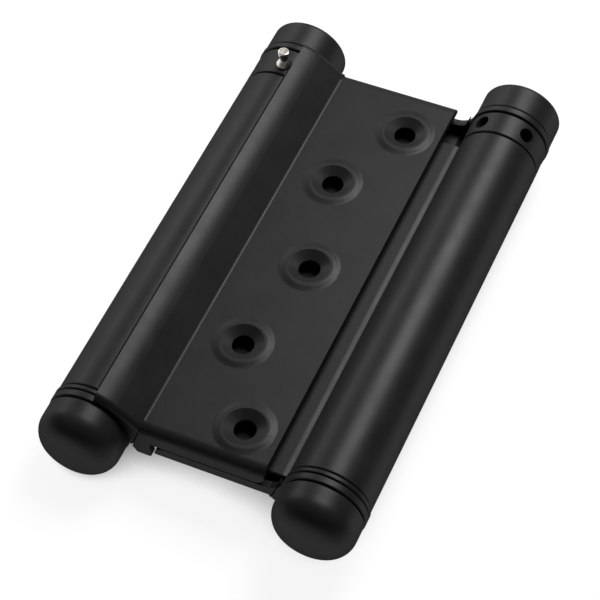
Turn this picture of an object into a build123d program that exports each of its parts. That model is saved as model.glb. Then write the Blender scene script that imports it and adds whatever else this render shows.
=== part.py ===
from build123d import *
import math
import os

# Double action spring hinge lying flat and closed. X runs across the two barrels, Y along them towards
# the tension collars, Z up. Pieces of a barrel are drawn about the Y axis as they sit on the left
# barrel, with Y = 0 midway along the leaves. The right ones are the same, turned half a turn about Y.

# Driving dimensions in mm and degrees

# barrels and centre web
barrel_spacing = 50.8
barrel_radius = 8.75
web_thickness = 1.5
web_bend_radius = 1.6
web_seam_gap = 0.35
barrel_end_rounding = 0.4

# leaves
leaf_length = 102.0
leaf_thickness = 1.6
leaf_face_height = 4.4
front_leaf_reach = 38.35
back_leaf_reach = 36.55
crease_reach = 11.65
crease_bend_radius = 0.9
fold_radius = 2.4
seam_angle = 13.0
skirt_gap = 0.3
skirt_corner_radius = 2.4
slit_width = 0.25
slit_foot_reach = 9.2
slit_foot_drop = 2.6

# ears that carry the spindles
ear_thickness = 1.6
ear_overhang = 0.2
ear_rounding = 0.3
ear_fold_radius = 1.5
neck_drop = 2.6
neck_radius = 4.0
leg_reach = 13.45
leg_drop = 4.2
leg_foot_width = 3.2
leg_foot_rounding = 0.5
leg_chamfer_drop = 2.6

# screw holes in each leaf
screw_hole_radius = 2.33
countersink_radius = 4.4
rim_crest_radius = 4.9
rim_radius = 6.5
rim_height = 0.35
outer_hole_offset = 41.0
inner_hole_offset = 22.6
outer_hole_reach = 30.65
inner_hole_reach = 21.65
middle_hole_reach = 26.25
hole_pattern_shift = -1.6

# washers and caps
washer_thickness = 1.0
washer_overhang = 0.2
washer_rounding = 0.25
washer_step = 0.5
ball_cap_length = 8.8
ball_cap_overhang = 0.05
ball_cap_corner_radius = 4.8
ball_cap_crown = 2.2
ball_cap_pole_radius = 0.8
top_cap_length = 7.0
top_cap_overhang = 0.0
top_cap_rounding = 0.9
cap_edge_chamfer = 0.3

# spindle
spindle_radius = 2.5
ball_cap_spindle_depth = 5.0
top_cap_spindle_depth = 4.2
spindle_chamfer = 0.5
cap_bore_spare_depth = 0.5

# tension collar and its pin
left_collar_length = 7.4
right_collar_length = 5.9
collar_overhang = 0.0
collar_rounding = 0.3
collar_spigot_length = 6.0
collar_hole_count = 5
collar_hole_radius = 1.65
collar_hole_rise = 3.0
collar_hole_depth = 4.4
collar_hole_chamfer = 0.1
pin_shank_length = 3.9
pin_flange_radius = 1.75
pin_flange_rim = 0.3
pin_cone_height = 1.3
pin_neck_radius = 0.9
pin_neck_height = 0.9
pin_head_radius = 1.22
pin_head_height = 1.5
pin_head_rounding = 0.25

# torsion spring and the plug that holds its lower end
spring_wire_radius = 1.2
spring_pitch = 4.4
spring_tang_length = 2.6
spring_elbow_swell = 0.05
plug_length = 7.0
plug_setback = 0.6
plug_chamfer = 0.4
anchor_pin_radius = 1.25
anchor_pin_length = 4.2
anchor_pin_angle = 26.0

# clearances
curl_clearance = 0.35
running_clearance = 0.05
face_clearance = 0.2
press_clearance = 0.01
tang_clearance = 0.12
tang_end_clearance = 0.5
pin_seat_clearance = 0.05
collar_ear_gap = 0.3
spigot_clearance = 0.15
spring_barrel_clearance = 0.55

# Places worked out from the driving dimensions

half_spacing = barrel_spacing / 2
half_leaf = leaf_length / 2
barrel_bore_radius = barrel_radius - web_thickness
ear_radius = barrel_radius + ear_overhang
washer_radius = barrel_radius + washer_overhang
ball_cap_radius = barrel_radius + ball_cap_overhang
top_cap_radius = barrel_radius + top_cap_overhang
collar_radius = barrel_radius + collar_overhang
curl_inner_radius = barrel_radius + curl_clearance
curl_outer_radius = curl_inner_radius + leaf_thickness
leaf_under_height = leaf_face_height - leaf_thickness
skirt_height = skirt_gap / 2
ear_inner_y = half_leaf - ear_thickness
washer_y = -ear_inner_y + face_clearance
barrel_bottom_y = washer_y + washer_thickness + face_clearance
collar_top_y = ear_inner_y - collar_ear_gap
cap_seat_y = half_leaf + face_clearance
ball_cap_end_y = -cap_seat_y - ball_cap_length
top_cap_end_y = cap_seat_y + top_cap_length
middle_y = (ball_cap_end_y + top_cap_end_y) / 2
plug_bottom_y = barrel_bottom_y + plug_setback
plug_top_y = plug_bottom_y + plug_length
anchor_pin_y = plug_bottom_y + plug_length / 2
spindle_bore_radius = spindle_radius + running_clearance
crease_distance = math.hypot(crease_reach, leaf_face_height)
crease_direction = math.degrees(math.atan2(crease_reach, leaf_face_height))
ramp_angle = crease_direction - math.degrees(math.acos(curl_outer_radius / crease_distance))
spring_coil_radius = barrel_bore_radius - spring_wire_radius - spring_barrel_clearance
spring_low_y = plug_top_y + spring_wire_radius + face_clearance
tang_reach = spring_wire_radius + spring_tang_length


def collar_bottom_y(collar_length):
    return collar_top_y - collar_length


def barrel_top_y(collar_length):
    return collar_bottom_y(collar_length) - face_clearance


def collar_hole_y(collar_length):
    return collar_bottom_y(collar_length) + collar_hole_rise


def spigot_end_y(collar_length):
    return collar_bottom_y(collar_length) - collar_spigot_length


def spring_high_y(collar_length):
    return spigot_end_y(collar_length) - spring_wire_radius - face_clearance


def on_circle(radius, angle, centre=(0.0, 0.0)):
    """Point at an angle in degrees from +Z towards +X."""
    turn = math.radians(angle)
    return (centre[0] + radius * math.sin(turn), centre[1] + radius * math.cos(turn))


def box_face(low, high):
    size = (high[0] - low[0], high[1] - low[1])
    return Pos((low[0] + high[0]) / 2, (low[1] + high[1]) / 2) * Rectangle(*size)


def polygon(points):
    return make_face(Polyline(*points, close=True))


def sheet_arc(centre, inner, outer, start, end):
    """Part of a ring between two angles: a rolled or bent length of sheet seen from its end."""
    angles = (start, (start + end) / 2, end)
    outside = [on_circle(outer, a, centre) for a in angles]
    inside = [on_circle(inner, a, centre) for a in angles]
    outline = [
        ThreePointArc(*outside),
        Line(outside[2], inside[2]),
        ThreePointArc(*inside),
        Line(inside[0], outside[0]),
    ]
    return make_face(outline)


def prism(face, y_low, y_high):
    """Extrudes a face drawn in X and Z from one Y to another."""
    return extrude(Plane.XZ.offset(-y_high) * face, amount=y_high - y_low)


def prism_across(face, x_low, x_high):
    """Extrudes a face drawn in Y and Z from one X to another."""
    return extrude(Plane.YZ.offset(x_low) * face, amount=x_high - x_low)


def rod(radius, y_low, y_high):
    return prism(Circle(radius), y_low, y_high)


def turned(radius, y_low, y_high, high_rounding=0.0, low_rounding=0.0):
    """A turned disc about the barrel axis with rounded rims."""
    face = box_face((0, y_low), (radius, y_high))
    rims = [v for v in face.vertices() if v.X > radius / 2]
    if high_rounding:
        face = fillet([v for v in rims if v.Y > (y_low + y_high) / 2], high_rounding)
        rims = [v for v in face.vertices() if v.X > radius - 1e-4]
    if low_rounding:
        face = fillet([v for v in rims if v.Y < y_low + 1e-4], low_rounding)
    return revolve(face, Axis.Y)


# centre web


def barrel_sheet():
    """End view of the left barrel and half the web: the sheet bends up and rolls round until its edge
    comes back under the web."""
    middle_radius = barrel_radius - web_thickness / 2
    bend_middle = web_bend_radius + web_thickness / 2
    bend_reach = math.sqrt((middle_radius + bend_middle) ** 2 - bend_middle**2)
    bend_angle = math.degrees(math.atan2(bend_reach, bend_middle))
    edge_drop = web_thickness / 2 + web_seam_gap
    edge_angle = 90 + math.degrees(math.asin(edge_drop / barrel_bore_radius))
    roll = sheet_arc((0, 0), barrel_bore_radius, barrel_radius, edge_angle - 360, bend_angle)
    bend_outer = web_bend_radius + web_thickness
    bend = sheet_arc((bend_reach, bend_middle), web_bend_radius, bend_outer, 180, 180 + bend_angle)
    flat = box_face((bend_reach, -web_thickness / 2), (half_spacing, web_thickness / 2))
    return roll + bend + flat


def build_center_web():
    left = Pos(-half_spacing, 0) * barrel_sheet()
    web = prism(left, barrel_bottom_y, barrel_top_y(left_collar_length))
    web += prism(Rot(0, 0, 180) * left, barrel_bottom_y, barrel_top_y(right_collar_length))
    rims = [
        edge
        for edge in web.edges().filter_by(GeomType.CIRCLE)
        if abs(edge.radius - barrel_radius) < 1e-4 and edge.length > barrel_radius
    ]
    web = fillet(rims, barrel_end_rounding)
    drill = anchor_bar(anchor_pin_radius + press_clearance, barrel_radius / 2, barrel_radius + 1)
    for turn in (0, 180):
        web -= Rot(0, turn, 0) * Pos(-half_spacing, 0, 0) * drill
    return web


def anchor_bar(radius, low, high):
    """A bar across the lower end of the barrel, under the curl, between two distances from the axis."""
    bar = extrude(Plane.XY.offset(low) * Circle(radius), amount=high - low)
    return Rot(0, anchor_pin_angle, 0) * Pos(0, anchor_pin_y, 0) * bar


# leaves


def leaf_sheet(reach):
    """End view of the curl over the barrel, the straight ramp down to the crease and the flat."""
    curl = sheet_arc((0, 0), curl_inner_radius, curl_outer_radius, seam_angle, ramp_angle)
    shift = leaf_thickness * math.tan(math.radians(ramp_angle / 2))
    crease_under = (crease_reach - shift, leaf_under_height)
    start_outer = on_circle(curl_outer_radius, ramp_angle)
    start_inner = on_circle(curl_inner_radius, ramp_angle)
    ramp = polygon([start_inner, start_outer, (crease_reach, leaf_face_height), crease_under])
    flat = polygon(
        [
            crease_under,
            (crease_reach, leaf_face_height),
            (reach, leaf_face_height),
            (reach, leaf_under_height),
        ]
    )
    return curl + ramp + flat + crease_bead()


def crease_bead():
    """The small inside radius of the bend between the ramp and the flat."""
    leg = crease_bend_radius * math.tan(math.radians(ramp_angle / 2))
    slope = math.radians(ramp_angle)
    on_ramp = (crease_reach - leg * math.cos(slope), leaf_face_height + leg * math.sin(slope))
    on_flat = (crease_reach + leg, leaf_face_height)
    centre = (crease_reach + leg, leaf_face_height + crease_bend_radius)
    middle = on_circle(crease_bend_radius, 180 + ramp_angle / 2, centre)
    sides = Polyline(on_flat, (crease_reach, leaf_face_height), on_ramp)
    return make_face([ThreePointArc(on_ramp, middle, on_flat), sides])


def end_fold(reach):
    """The bend at one end of the flat and the skirt below it, seen from the side at +Y."""
    inner_y = half_leaf - leaf_thickness
    outer_edge = leaf_face_height - fold_radius
    centre = (half_leaf - fold_radius, outer_edge)
    inner_radius = fold_radius - leaf_thickness
    bend = sheet_arc(centre, inner_radius, fold_radius, 0, 90)
    skirt = box_face((inner_y, skirt_height), (half_leaf, outer_edge))
    flange = prism_across(bend + skirt, crease_reach, reach)
    corner = box_face((crease_reach, skirt_height), (reach, leaf_face_height))
    low_corner = [v for v in corner.vertices() if v.X > reach - 1e-4 and v.Y < skirt_height + 1e-4]
    return flange & prism(fillet(low_corner, skirt_corner_radius), inner_y - fold_radius, half_leaf)


def neck_face():
    """Outline that joins the ear to the skirt, hollow along its lower edge."""
    side = math.sqrt(ear_radius**2 - neck_drop**2)
    top = leaf_face_height - fold_radius
    root = (side + neck_radius, skirt_height)
    middle = (side + neck_radius * 0.3, -neck_drop * 0.36)
    hollow = ThreePointArc((side, -neck_drop), middle, root)
    rest = Polyline(root, (root[0], top), (0, top), (0, -neck_drop), (side, -neck_drop))
    return make_face([hollow, rest])


def leg_face():
    """Outline of the leg that hangs beside the barrel."""
    ankle = leg_chamfer_drop - leg_drop
    outline = polygon(
        [
            (leg_reach, leaf_face_height - fold_radius),
            (leg_reach, -leg_drop),
            (leg_reach - leg_foot_width, -leg_drop),
            (math.sqrt(ear_radius**2 - ankle**2), ankle),
            (0, ankle),
            (0, leaf_face_height - fold_radius),
        ]
    )
    foot = [v for v in outline.vertices() if v.Y < -leg_drop + 1e-4]
    return fillet(foot, leg_foot_rounding)


def ear_hood():
    """The end of the curl and ramp where they turn down into the ear."""
    rim = sheet_arc((0, 0), 0.5, curl_outer_radius, seam_angle, ramp_angle)
    start_outer = on_circle(curl_outer_radius, ramp_angle)
    ramp = polygon([(0, 0), start_outer, (crease_reach, leaf_face_height), (crease_reach, 0)])
    return rim + ramp


def build_ear(with_leg):
    """The end plate round the spindle at +Y, with the neck beside the skirt."""
    neck = neck_face()
    if with_leg:
        neck += leg_face()
    ear = turned(ear_radius, ear_inner_y, half_leaf, ear_rounding, ear_rounding)
    ear += prism(neck, ear_inner_y, half_leaf)
    hood = prism(ear_hood(), ear_inner_y, half_leaf)
    rims = [
        edge
        for edge in hood.edges()
        if edge.center().Y > half_leaf - 1e-4 and edge.center().Z > leaf_face_height - 0.5
    ]
    rims = [edge for edge in rims if not touches_axis(edge)]
    hood = fillet(rims, ear_fold_radius)
    return (ear + hood) - slit_cutter()


def touches_axis(edge):
    inner = [v for v in edge.vertices() if math.hypot(v.X, v.Z) < ear_radius]
    return bool(inner)


def slit_cutter():
    """The narrow slanted slit from the crease down, between the ear and the skirt."""
    run = crease_reach - slit_foot_reach
    rise = leaf_face_height + slit_foot_drop
    centre = ((crease_reach + slit_foot_reach) / 2, (leaf_face_height - slit_foot_drop) / 2)
    slope = math.degrees(math.atan2(rise, run))
    slit = Rectangle(math.hypot(run, rise) + 2 * slit_width, slit_width)
    return prism(Pos(*centre) * Rot(0, 0, slope) * slit, ear_inner_y, half_leaf + 1)


def screw_hole_places():
    return [
        (outer_hole_reach, hole_pattern_shift + outer_hole_offset),
        (inner_hole_reach, hole_pattern_shift + inner_hole_offset),
        (middle_hole_reach, hole_pattern_shift),
        (inner_hole_reach, hole_pattern_shift - inner_hole_offset),
        (outer_hole_reach, hole_pattern_shift - outer_hole_offset),
    ]


def rim_body():
    """The soft raised rim round a screw hole, standing on the plane Z = 0."""
    low = -leaf_thickness / 2
    outline = [
        Line((0, low), (rim_radius, low)),
        Line((rim_radius, low), (rim_radius, 0)),
        Spline(
            (rim_radius, 0),
            (rim_crest_radius, rim_height),
            tangents=[(-1, 0), (-1, 0)],
        ),
        Line((rim_crest_radius, rim_height), (0, rim_height)),
        Line((0, rim_height), (0, low)),
    ]
    return revolve(Plane.XZ * make_face(outline), Axis.Z)


def hole_body():
    """What is cut away for a countersunk screw hole whose rim starts on the plane Z = 0."""
    crest = rim_height
    over = 1.0
    depth = leaf_thickness + over
    sink_floor = -leaf_thickness / 2
    points = [
        (0, -depth),
        (screw_hole_radius, -depth),
        (screw_hole_radius, sink_floor),
        (countersink_radius, crest),
        (countersink_radius, crest + over),
        (0, crest + over),
    ]
    return revolve(Plane.XZ * polygon(points), Axis.Z)


def join_end(reach, with_leg):
    """The folded end of the leaf at +Y, cut free from its ear by the slit."""
    return (end_fold(reach) - slit_cutter()) + build_ear(with_leg)


def build_leaf(reach, with_leg):
    plate = prism(leaf_sheet(reach), -half_leaf + fold_radius, half_leaf - fold_radius)
    curl = sheet_arc((0, 0), curl_inner_radius, curl_outer_radius, seam_angle, ramp_angle)
    start_outer = on_circle(curl_outer_radius, ramp_angle)
    start_inner = on_circle(curl_inner_radius, ramp_angle)
    shift = leaf_thickness * math.tan(math.radians(ramp_angle / 2))
    crease_under = (crease_reach - shift, leaf_under_height)
    ramp = polygon([start_inner, start_outer, (crease_reach, leaf_face_height), crease_under])
    leaf = plate + prism(curl + ramp, -ear_inner_y, ear_inner_y)
    leaf += join_end(reach, False)
    leaf += mirror(join_end(reach, with_leg), Plane.XZ)
    for x, y in screw_hole_places():
        leaf += Pos(x, y, leaf_face_height) * rim_body()
    for x, y in screw_hole_places():
        leaf -= Pos(x, y, leaf_face_height) * hole_body()
    leaf -= rod(spindle_bore_radius, -half_leaf - 1, half_leaf + 1)
    return leaf


# pieces turned about a barrel axis


def build_barrel_washer():
    """The ring between the barrel and the lower ear, with a step that centres it in the barrel."""
    top_y = washer_y + washer_thickness
    ring = turned(washer_radius, washer_y, top_y, washer_rounding, washer_rounding)
    step = rod(barrel_bore_radius - running_clearance, washer_y, top_y + washer_step)
    return ring + step - rod(spindle_bore_radius, washer_y - 1, top_y + 1)


def build_ball_cap():
    """The rounded cap under the lower ear, bored for the spindle."""
    seat = -cap_seat_y
    shoulder = ball_cap_end_y + ball_cap_crown
    pole = (ball_cap_pole_radius, ball_cap_end_y)
    crown = TangentArc(pole, (ball_cap_radius, shoulder), tangent=(1, 0))
    sides = Polyline(
        (ball_cap_radius, shoulder),
        (ball_cap_radius, seat),
        (0, seat),
        (0, ball_cap_end_y),
        pole,
    )
    face = make_face([crown, sides])
    corner = [v for v in face.vertices() if v.X > ball_cap_radius - 1e-4 and v.Y < shoulder + 1e-4]
    face = fillet(corner, ball_cap_corner_radius)
    seat_rim = [v for v in face.vertices() if v.X > ball_cap_radius - 1e-4 and v.Y > seat - 1e-4]
    face = chamfer(seat_rim, cap_edge_chamfer)
    bore_end = seat - ball_cap_spindle_depth - cap_bore_spare_depth
    return revolve(face, Axis.Y) - rod(spindle_radius + press_clearance, bore_end, seat + 1)


def build_top_cap():
    """The flat cap above the upper ear, bored for the spindle."""
    body = turned(top_cap_radius, cap_seat_y, top_cap_end_y, top_cap_rounding, cap_edge_chamfer)
    bore_end = cap_seat_y + top_cap_spindle_depth + cap_bore_spare_depth
    return body - rod(spindle_radius + press_clearance, cap_seat_y - 1, bore_end)


def build_spindle():
    low = -cap_seat_y - ball_cap_spindle_depth
    high = cap_seat_y + top_cap_spindle_depth
    body = rod(spindle_radius, low, high)
    return chamfer(body.edges().filter_by(GeomType.CIRCLE), spindle_chamfer)


def setting_hole(index, y):
    """One of the radial holes round the collar, with a small chamfer at its mouth."""
    floor = collar_radius - collar_hole_depth
    points = [
        (0, floor),
        (collar_hole_radius, floor),
        (collar_hole_radius, collar_radius - collar_hole_chamfer),
        (collar_hole_radius + collar_hole_chamfer * 2, collar_radius + collar_hole_chamfer),
        (0, collar_radius + collar_hole_chamfer),
    ]
    hole = revolve(Plane.XZ * polygon(points), Axis.Z)
    return Rot(0, index * 360 / collar_hole_count, 0) * Pos(0, y, 0) * hole


def tang_hole(y_low, y_high):
    radius = spring_wire_radius + tang_clearance
    return prism(Pos(spring_coil_radius, 0) * Circle(radius), y_low, y_high)


def build_tension_collar(collar_length):
    """The ring with the setting holes, and the spigot in the barrel that holds the spring's end."""
    bottom = collar_bottom_y(collar_length)
    spigot_end = spigot_end_y(collar_length)
    collar = turned(collar_radius, bottom, collar_top_y, collar_rounding, collar_rounding)
    collar += rod(barrel_bore_radius - spigot_clearance, spigot_end, bottom + 1)
    collar -= rod(spindle_bore_radius, spigot_end - 1, collar_top_y + 1)
    for index in range(collar_hole_count):
        collar -= setting_hole(index, collar_hole_y(collar_length))
    tang_end = spring_high_y(collar_length) + tang_reach
    return collar - tang_hole(spigot_end - 1, tang_end + tang_end_clearance)


def build_tension_pin(collar_length):
    """The turned pin that stands in a setting hole and bears on the edge of the curl."""
    shank = collar_hole_radius - pin_seat_clearance
    surface = collar_radius + pin_seat_clearance
    foot = surface - pin_shank_length
    rim = surface + pin_flange_rim
    neck = rim + pin_cone_height
    head = neck + pin_neck_height
    top = head + pin_head_height
    profile = polygon(
        [
            (0, foot),
            (shank - pin_head_rounding, foot),
            (shank, foot + pin_head_rounding),
            (shank, surface),
            (pin_flange_radius, surface),
            (pin_flange_radius, rim),
            (pin_neck_radius, neck),
            (pin_neck_radius, head),
            (pin_head_radius, head + pin_head_rounding),
            (pin_head_radius, top),
            (0, top),
        ]
    )
    corner = [v for v in profile.vertices() if v.X > pin_head_radius - 1e-4 and v.Y > top - 1e-4]
    profile = fillet(corner, pin_head_rounding)
    return Pos(0, collar_hole_y(collar_length), 0) * revolve(Plane.XZ * profile, Axis.Z)


def build_torsion_spring(collar_length):
    """The coil round the spindle, with a straight tang at each end."""
    high_y = spring_high_y(collar_length)
    height = high_y - spring_low_y
    turns = max(1, round(height / spring_pitch))
    path = Helix(height / turns, height, spring_coil_radius)
    wire_end = Plane(origin=path @ 0, z_dir=path % 0) * Circle(spring_wire_radius)
    coil = sweep(wire_end, path=path, is_frenet=True)
    spring = Pos(0, spring_low_y, 0) * Rot(-90, 0, 0) * coil
    wire = Pos(spring_coil_radius, 0) * Circle(spring_wire_radius)
    elbow = Sphere(spring_wire_radius + spring_elbow_swell)
    for bend_y, tip_y in ((spring_low_y, spring_low_y - tang_reach), (high_y, high_y + tang_reach)):
        spring += Pos(spring_coil_radius, bend_y, 0) * elbow
        spring += prism(wire, min(bend_y, tip_y), max(bend_y, tip_y))
    return spring


def build_spring_plug():
    """The plug pressed into the lower end of the barrel, with a hole for the spring's lower tang."""
    plug = rod(barrel_bore_radius - press_clearance, plug_bottom_y, plug_top_y)
    plug = chamfer(plug.edges().filter_by(GeomType.CIRCLE), plug_chamfer)
    plug -= rod(spindle_bore_radius, plug_bottom_y - 1, plug_top_y + 1)
    plug -= tang_hole(spring_low_y - tang_reach - tang_end_clearance, plug_top_y + 1)
    pin_end = barrel_radius - anchor_pin_length
    return plug - anchor_bar(anchor_pin_radius + press_clearance, pin_end - 0.2, barrel_radius)


def build_anchor_pin():
    """The short cross pin that locks the plug in the barrel, hidden by the curl."""
    pin = anchor_bar(anchor_pin_radius, barrel_radius - anchor_pin_length, barrel_radius)
    return chamfer(pin.edges().filter_by(GeomType.CIRCLE), plug_chamfer / 2)


# assembly

left_place = Pos(-half_spacing, -middle_y, 0)
right_place = Rot(0, 180, 0) * left_place
pieces = {
    "center_web": Pos(0, -middle_y, 0) * build_center_web(),
    "front_leaf": left_place * build_leaf(front_leaf_reach, True),
    "back_leaf": right_place * build_leaf(back_leaf_reach, False),
}
sides = {"left": (left_place, left_collar_length), "right": (right_place, right_collar_length)}
for side, (place, collar_length) in sides.items():
    pieces[f"{side}_ball_cap"] = place * build_ball_cap()
    pieces[f"{side}_barrel_washer"] = place * build_barrel_washer()
    pieces[f"{side}_tension_collar"] = place * build_tension_collar(collar_length)
    pieces[f"{side}_tension_pin"] = place * build_tension_pin(collar_length)
    pieces[f"{side}_top_cap"] = place * build_top_cap()
    pieces[f"{side}_spindle"] = place * build_spindle()
    pieces[f"{side}_torsion_spring"] = place * build_torsion_spring(collar_length)
    pieces[f"{side}_spring_plug"] = place * build_spring_plug()
    pieces[f"{side}_anchor_pin"] = place * build_anchor_pin()

os.makedirs("parts", exist_ok=True)
for name, piece in pieces.items():
    export_step(piece, f"parts/{name}.step")
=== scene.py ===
import math

import bpy
from mathutils import Matrix, Vector


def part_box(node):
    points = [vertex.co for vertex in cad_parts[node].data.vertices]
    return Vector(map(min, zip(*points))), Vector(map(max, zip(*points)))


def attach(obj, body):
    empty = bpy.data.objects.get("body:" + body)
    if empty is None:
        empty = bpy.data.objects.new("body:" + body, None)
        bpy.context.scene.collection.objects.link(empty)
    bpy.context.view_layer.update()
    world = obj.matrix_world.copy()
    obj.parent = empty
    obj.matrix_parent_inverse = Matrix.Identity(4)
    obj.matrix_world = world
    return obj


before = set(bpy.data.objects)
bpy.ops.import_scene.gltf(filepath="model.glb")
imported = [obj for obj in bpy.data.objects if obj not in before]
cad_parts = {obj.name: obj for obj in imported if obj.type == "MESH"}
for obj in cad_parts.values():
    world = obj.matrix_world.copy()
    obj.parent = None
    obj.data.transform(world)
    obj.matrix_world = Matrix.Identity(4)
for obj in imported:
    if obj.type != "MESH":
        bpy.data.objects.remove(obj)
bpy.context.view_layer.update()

# Lengths are in metres. The axes of the barrels lie at X = -BARREL_X and BARREL_X, and the middle of the
# leaves lies a little above the frame's origin, along Y.
BARREL_X = 0.0254
LEAF_MIDDLE_Y = 0.0009


# nodes that the materials share

NOISE_LOW, NOISE_HIGH = 0.3, 0.7


def new_material(name):
    material = bpy.data.materials.new(name)
    material.use_nodes = True
    tree = material.node_tree
    return material, tree, tree.nodes["Principled BSDF"]


def math_node(tree, operation, first, second=None):
    node = tree.nodes.new("ShaderNodeMath")
    node.operation = operation
    tree.links.new(first, node.inputs[0])
    if second is not None:
        tree.links.new(second, node.inputs[1])
    return node.outputs[0]


def map_range(tree, value, start, end, low, high):
    """The value's range from start to end, turned into the range from low to high and kept inside it."""
    node = tree.nodes.new("ShaderNodeMapRange")
    node.inputs["From Min"].default_value = start
    node.inputs["From Max"].default_value = end
    node.inputs["To Min"].default_value = low
    node.inputs["To Max"].default_value = high
    tree.links.new(value, node.inputs["Value"])
    return node.outputs["Result"]


def object_coordinates(tree):
    return tree.nodes.new("ShaderNodeTexCoord").outputs["Object"]


def noise(tree, scale, detail, roughness, stretch=(1, 1, 1)):
    mapping = tree.nodes.new("ShaderNodeMapping")
    mapping.inputs["Scale"].default_value = stretch
    tree.links.new(object_coordinates(tree), mapping.inputs["Vector"])
    texture = tree.nodes.new("ShaderNodeTexNoise")
    texture.inputs["Scale"].default_value = scale
    texture.inputs["Detail"].default_value = detail
    texture.inputs["Roughness"].default_value = roughness
    tree.links.new(mapping.outputs["Vector"], texture.inputs["Vector"])
    return texture.outputs["Fac"]


def colour_between(tree, value, dark, light):
    node = tree.nodes.new("ShaderNodeValToRGB")
    low, high = node.color_ramp.elements
    low.position, low.color = NOISE_LOW, (*dark, 1)
    high.position, high.color = NOISE_HIGH, (*light, 1)
    tree.links.new(value, node.inputs["Fac"])
    return node.outputs["Color"]


def bump(tree, shader, heights):
    """Chains bumps of (height, strength, distance) into the shader's normal."""
    previous = None
    for height, strength, distance in heights:
        node = tree.nodes.new("ShaderNodeBump")
        node.inputs["Strength"].default_value = strength
        node.inputs["Distance"].default_value = distance
        tree.links.new(height, node.inputs["Height"])
        if previous is not None:
            tree.links.new(previous, node.inputs["Normal"])
        previous = node.outputs["Normal"]
    tree.links.new(previous, shader.inputs["Normal"])


# materials

COAT_BLACK = 0.010
COAT_ROUGHNESS = 0.42
COAT_ROUGHNESS_SPREAD = 0.03
COAT_SPECULAR = 0.16
COAT_BLUE_DARK, COAT_BLUE_LIGHT = 1.03, 1.02
PEEL_SCALE, PEEL_STRENGTH, PEEL_HEIGHT = 1900, 0.3, 0.00004
CLOUD_SCALE, CLOUD_STRENGTH, CLOUD_HEIGHT = 160, 0.08, 0.0001
GLANCE_START, GLANCE_END, GLANCE_ROUGHNESS = 0.35, 0.85, 0.5
# the web's coat has painted shade near X = 0, where the leaves cover it, and is duller there
COVERED_START, COVERED_END = 0.0085, 0.0125
PAINTED_SHADE_UNDER_LEAVES, COVERED_ROUGHNESS = 0.3, 0.3
METAL_DARK = 0.9
METAL_ROUGHNESS_SPREAD = 0.05
METAL_LINE_HEIGHT = 0.00002
STEEL_STRETCH, STEEL_SCALE, STEEL_STRENGTH = (1, 0.1, 1), 1500, 0.2


def powder_coat(name, base, lift, roughness):
    """Satin black powder coat: fine orange peel, slightly uneven gloss, duller at a glancing angle."""
    material, tree, shader = new_material(name)
    peel = noise(tree, PEEL_SCALE, detail=2, roughness=0.5)
    cloud = noise(tree, CLOUD_SCALE, detail=3, roughness=0.6)
    dark = (base, base, base * COAT_BLUE_DARK)
    light = (base * lift, base * lift, base * lift * COAT_BLUE_LIGHT)
    tree.links.new(colour_between(tree, cloud, dark, light), shader.inputs["Base Color"])
    low, high = roughness - COAT_ROUGHNESS_SPREAD, roughness + COAT_ROUGHNESS_SPREAD
    uneven = map_range(tree, cloud, NOISE_LOW, NOISE_HIGH, low, high)
    facing = tree.nodes.new("ShaderNodeLayerWeight").outputs["Facing"]
    duller = map_range(tree, facing, GLANCE_START, GLANCE_END, 0, GLANCE_ROUGHNESS)
    tree.links.new(math_node(tree, "ADD", uneven, duller), shader.inputs["Roughness"])
    shader.inputs["Specular IOR Level"].default_value = COAT_SPECULAR
    bump(tree, shader, [(peel, PEEL_STRENGTH, PEEL_HEIGHT), (cloud, CLOUD_STRENGTH, CLOUD_HEIGHT)])
    return material


def powder_coat_with_painted_shade(name, base, lift, roughness):
    """Powder coat with painted shade near X = 0, where the leaves cover the web: darker there, and
    duller.
    """
    material = powder_coat(name, base, lift, roughness)
    tree = material.node_tree
    shader = tree.nodes["Principled BSDF"]
    colour, gloss = shader.inputs["Base Color"], shader.inputs["Roughness"]
    split = tree.nodes.new("ShaderNodeSeparateXYZ")
    tree.links.new(object_coordinates(tree), split.inputs["Vector"])
    reach = math_node(tree, "ABSOLUTE", split.outputs["X"])
    shade = tree.nodes.new("ShaderNodeVectorMath")
    shade.operation = "SCALE"
    tree.links.new(colour.links[0].from_socket, shade.inputs[0])
    # painted shade: the colour is scaled down near X = 0, under the leaves
    painted_shade = map_range(tree, reach, COVERED_START, COVERED_END, PAINTED_SHADE_UNDER_LEAVES, 1)
    tree.links.new(painted_shade, shade.inputs["Scale"])
    tree.links.new(shade.outputs[0], colour)
    duller = map_range(tree, reach, COVERED_START, COVERED_END, COVERED_ROUGHNESS, 0)
    tree.links.new(math_node(tree, "ADD", gloss.links[0].from_socket, duller), gloss)
    return material


def metal(name, colour, roughness, stretch, scale, line_strength):
    """Bare metal with faint lines, drawn out along the axes where stretch is small."""
    material, tree, shader = new_material(name)
    lines = noise(tree, scale, detail=3, roughness=0.6, stretch=stretch)
    dark = tuple(part * METAL_DARK for part in colour)
    tree.links.new(colour_between(tree, lines, dark, colour), shader.inputs["Base Color"])
    low, high = roughness - METAL_ROUGHNESS_SPREAD, roughness + METAL_ROUGHNESS_SPREAD
    tree.links.new(map_range(tree, lines, NOISE_LOW, NOISE_HIGH, low, high), shader.inputs["Roughness"])
    shader.inputs["Metallic"].default_value = 1
    bump(tree, shader, [(lines, line_strength, METAL_LINE_HEIGHT)])
    return material


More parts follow.
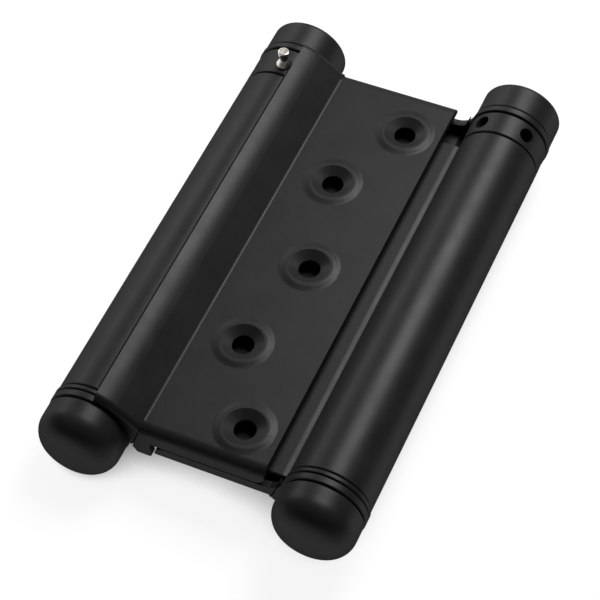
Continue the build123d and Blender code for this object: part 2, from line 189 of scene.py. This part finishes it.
sheet_coat = powder_coat("sheet_coat", COAT_BLACK, 1.25, COAT_ROUGHNESS)
cap_coat = powder_coat("cap_coat", COAT_BLACK, 1.2, COAT_ROUGHNESS)
# web coat with painted shade under the leaves
web_coat = powder_coat_with_painted_shade("web_coat", COAT_BLACK, 1.25, COAT_ROUGHNESS)
# very dark coat for the painted shade strips in the slits and along the curl edges
seam_coat = powder_coat("seam_coat", base=0.002, lift=1.2, roughness=0.80)
nickel = metal("nickel", (0.86, 0.82, 0.75), 0.26, stretch=(1, 1, 6), scale=900, line_strength=0.15)
steel = metal("steel", (0.45, 0.45, 0.46), 0.35, STEEL_STRETCH, STEEL_SCALE, STEEL_STRENGTH)
black_steel = metal("black_steel", (0.06, 0.06, 0.06), 0.5, STEEL_STRETCH, STEEL_SCALE, STEEL_STRENGTH)

# The two pieces of a pair share one entry, without left_ or right_.
NODE_MATERIALS = {
    "center_web": web_coat,
    "front_leaf": sheet_coat,
    "back_leaf": sheet_coat,
    "ball_cap": cap_coat,
    "barrel_washer": cap_coat,
    "tension_collar": cap_coat,
    "top_cap": cap_coat,
    "tension_pin": nickel,
    "spindle": steel,
    "torsion_spring": steel,
    "spring_plug": steel,
    "anchor_pin": black_steel,
}
for node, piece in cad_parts.items():
    kind = node.removeprefix("left_").removeprefix("right_")
    piece.data.materials.clear()
    piece.data.materials.append(NODE_MATERIALS[kind])


# painted shade: a very dark sheet closes the slit beside each ear, so no light comes through, and a
# thin painted shadow line lies along the free edge of each curl; their places are drawn about the axis
# of the left barrel, with Y from the middle of the leaves

SLIT_TOP = Vector((0.01165, 0, 0.0043))
SLIT_FOOT = Vector((0.0092, 0, -0.0026))
SLIT_WIDTH = 0.00024
SLIT_ENDS = (0.0494, 0.0505)
CURL_EDGE_ANGLE = math.radians(13)
# the painted shadow line along the free edge of each curl
EDGE_SHADOW_WIDTH = 0.0004
EDGE_SHADOW_RADII = (0.0093, 0.0104)
EDGE_SHADOW_ENDS = (-0.0478, 0.0424)


def slit_profile():
    across = (SLIT_TOP - SLIT_FOOT).cross(Vector((0, 1, 0))).normalized() * SLIT_WIDTH / 2
    return [SLIT_TOP - across, SLIT_TOP + across, SLIT_FOOT + across, SLIT_FOOT - across]


def edge_shadow_profile():
    inner, outer = EDGE_SHADOW_RADII
    far = CURL_EDGE_ANGLE - EDGE_SHADOW_WIDTH / outer
    places = ((inner, CURL_EDGE_ANGLE), (outer, CURL_EDGE_ANGLE), (outer, far), (inner, far))
    return [Vector((radius * math.sin(angle), 0, radius * math.cos(angle))) for radius, angle in places]


def build_leaf_painted_shade(body, side):
    """The painted shade strips of one leaf; side is 1 for the front leaf and -1 for the back leaf."""
    vertices, faces = [], []
    slits = [(*sorted(end * y for y in SLIT_ENDS), slit_profile()) for end in (1, -1)]
    for start, stop, profile in slits + [(*EDGE_SHADOW_ENDS, edge_shadow_profile())]:
        first = len(vertices)
        for y in (start, stop):
            for corner in profile:
                vertices.append((side * (corner.x - BARREL_X), y + LEAF_MIDDLE_Y, side * corner.z))
        faces += [(first, first + 1, first + 2, first + 3), (first + 7, first + 6, first + 5, first + 4)]
        for edge in range(4):
            after = (edge + 1) % 4
            faces.append((first + after, first + edge, first + edge + 4, first + after + 4))
    # one mesh holds the painted shade strips of this leaf
    mesh = bpy.data.meshes.new(body + "_coat")
    mesh.from_pydata(vertices, [], faces)
    mesh.materials.append(seam_coat)
    strips = bpy.data.objects.new(mesh.name, mesh)
    bpy.context.scene.collection.objects.link(strips)
    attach(strips, body)


build_leaf_painted_shade("front_leaf_body", 1)
build_leaf_painted_shade("back_leaf_body", -1)


# floor: the hinge lies on the rings of the left barrel and on the pin of the right collar, so the floor
# slopes a little across the barrels

PIN_TIP_RADIUS = 0.001
FLOOR_REACH = 3.0
FLOOR_GREY = 0.12
FLOOR_GLOW = 0.90
FLOOR_ROUGHNESS = 0.9
FLOOR_SPECULAR = 0.1
# painted shade on the floor near the hinge: the glow fades with ambient occlusion within this reach
CONTACT_REACH = 0.02
CONTACT_SAMPLES = 16
CONTACT_END = 0.5


def floor_line():
    """The floor's slope along X and its height at X = 0, touching the left rings and the right pin."""
    ring_radius = -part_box("left_barrel_washer")[0][2]
    pin_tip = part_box("right_tension_pin")[0][2]
    reach = 2 * BARREL_X - PIN_TIP_RADIUS
    slope = (pin_tip + ring_radius) / reach
    ring_drop = ring_radius * math.hypot(1, slope)
    slope = (pin_tip + ring_drop) / reach
    return slope, slope * BARREL_X - ring_drop


def floor_material():
    """Floor that shows nearly white by its glow, takes a faint shadow and has painted shade near the
    hinge.
    """
    material, tree, shader = new_material("floor")
    shader.inputs["Base Color"].default_value = (FLOOR_GREY, FLOOR_GREY, FLOOR_GREY, 1)
    shader.inputs["Roughness"].default_value = FLOOR_ROUGHNESS
    shader.inputs["Specular IOR Level"].default_value = FLOOR_SPECULAR
    shader.inputs["Emission Color"].default_value = (1, 1, 1, 1)
    path = tree.nodes.new("ShaderNodeLightPath")
    seen = math_node(tree, "MAXIMUM", path.outputs["Is Camera Ray"], path.outputs["Is Glossy Ray"])
    seen = math_node(tree, "MAXIMUM", seen, path.outputs["Is Transmission Ray"])
    # painted shade: ambient occlusion close to the hinge turns the glow down
    near = tree.nodes.new("ShaderNodeAmbientOcclusion")
    near.inputs["Distance"].default_value = CONTACT_REACH
    near.samples = CONTACT_SAMPLES
    glow = map_range(tree, near.outputs["AO"], 0, CONTACT_END, 0, FLOOR_GLOW)
    tree.links.new(math_node(tree, "MULTIPLY", glow, seen), shader.inputs["Emission Strength"])
    return material


def build_floor():
    slope, height = floor_line()
    corners = []
    for x, y in ((-1, -1), (1, -1), (1, 1), (-1, 1)):
        corners.append((x * FLOOR_REACH, y * FLOOR_REACH, height + slope * x * FLOOR_REACH))
    mesh = bpy.data.meshes.new("floor")
    mesh.from_pydata(corners, [], [(0, 1, 2, 3)])
    mesh.materials.append(floor_material())
    floor = bpy.data.objects.new("floor", mesh)
    bpy.context.scene.collection.objects.link(floor)


build_floor()


# light: a soft key beyond the top end, a wide light from the left, and a dim sky that the camera sees as
# white; each light has its place, size and energy

LIGHTS = {
    "key": ((0.085, 0.33, 0.51), (0.28, 0.28), 4.2),
    "side": ((-0.60, 0.45, 0.36), (0.6, 0.45), 2.3),
}
SKY_STRENGTH = 0.10


def build_area_light(name, place, size, energy):
    """A rectangle of light that points at the middle of the hinge."""
    data = bpy.data.lights.new(name, "AREA")
    data.shape = "RECTANGLE"
    data.size, data.size_y = size
    data.energy = energy
    light = bpy.data.objects.new(name, data)
    bpy.context.scene.collection.objects.link(light)
    light.location = place
    light.rotation_euler = (-Vector(place)).to_track_quat("-Z", "Y").to_euler()


def build_sky():
    world = bpy.data.worlds.new("world")
    bpy.context.scene.world = world
    world.use_nodes = True
    tree = world.node_tree
    sky = tree.nodes["Background"]
    sky.inputs["Color"].default_value = (1, 1, 1, 1)
    path = tree.nodes.new("ShaderNodeLightPath")
    strength = tree.nodes.new("ShaderNodeMath")
    strength.operation = "MAXIMUM"
    strength.inputs[1].default_value = SKY_STRENGTH
    tree.links.new(path.outputs["Is Camera Ray"], strength.inputs[0])
    tree.links.new(strength.outputs[0], sky.inputs["Strength"])


for light_name, (place, size, energy) in LIGHTS.items():
    build_area_light(light_name, place, size, energy)
build_sky()


# camera at the photo's angle

PHOTO_PIXELS = 600
FOCAL_PIXELS = 2142.3
SENSOR_MM = 36
CLIP_START = 0.01
AZIMUTH, ELEVATION, ROLL = (math.radians(angle) for angle in (27.62, 53.15, -4.46))
DISTANCE, RIGHT_SHIFT, UP_SHIFT = 0.44613, -0.00243, -0.00551


def build_camera():
    level = math.cos(ELEVATION)
    back = Vector((math.sin(AZIMUTH) * level, -math.cos(AZIMUTH) * level, math.sin(ELEVATION)))
    right = Vector((math.cos(AZIMUTH), math.sin(AZIMUTH), 0))
    up = back.cross(right)
    place = back * DISTANCE + right * RIGHT_SHIFT + up * UP_SHIFT
    place.y += LEAF_MIDDLE_Y
    rolled_right = right * math.cos(ROLL) + up * math.sin(ROLL)
    rolled_up = up * math.cos(ROLL) - right * math.sin(ROLL)
    turn = Matrix((rolled_right, rolled_up, back)).transposed().to_4x4()
    data = bpy.data.cameras.new("camera")
    data.sensor_width = SENSOR_MM
    data.lens = FOCAL_PIXELS / PHOTO_PIXELS * SENSOR_MM
    data.clip_start = CLIP_START
    camera = bpy.data.objects.new("camera", data)
    camera.matrix_world = Matrix.Translation(place) @ turn
    bpy.context.scene.collection.objects.link(camera)
    bpy.context.scene.camera = camera


build_camera()
bpy.context.scene.view_settings.view_transform = "Standard"
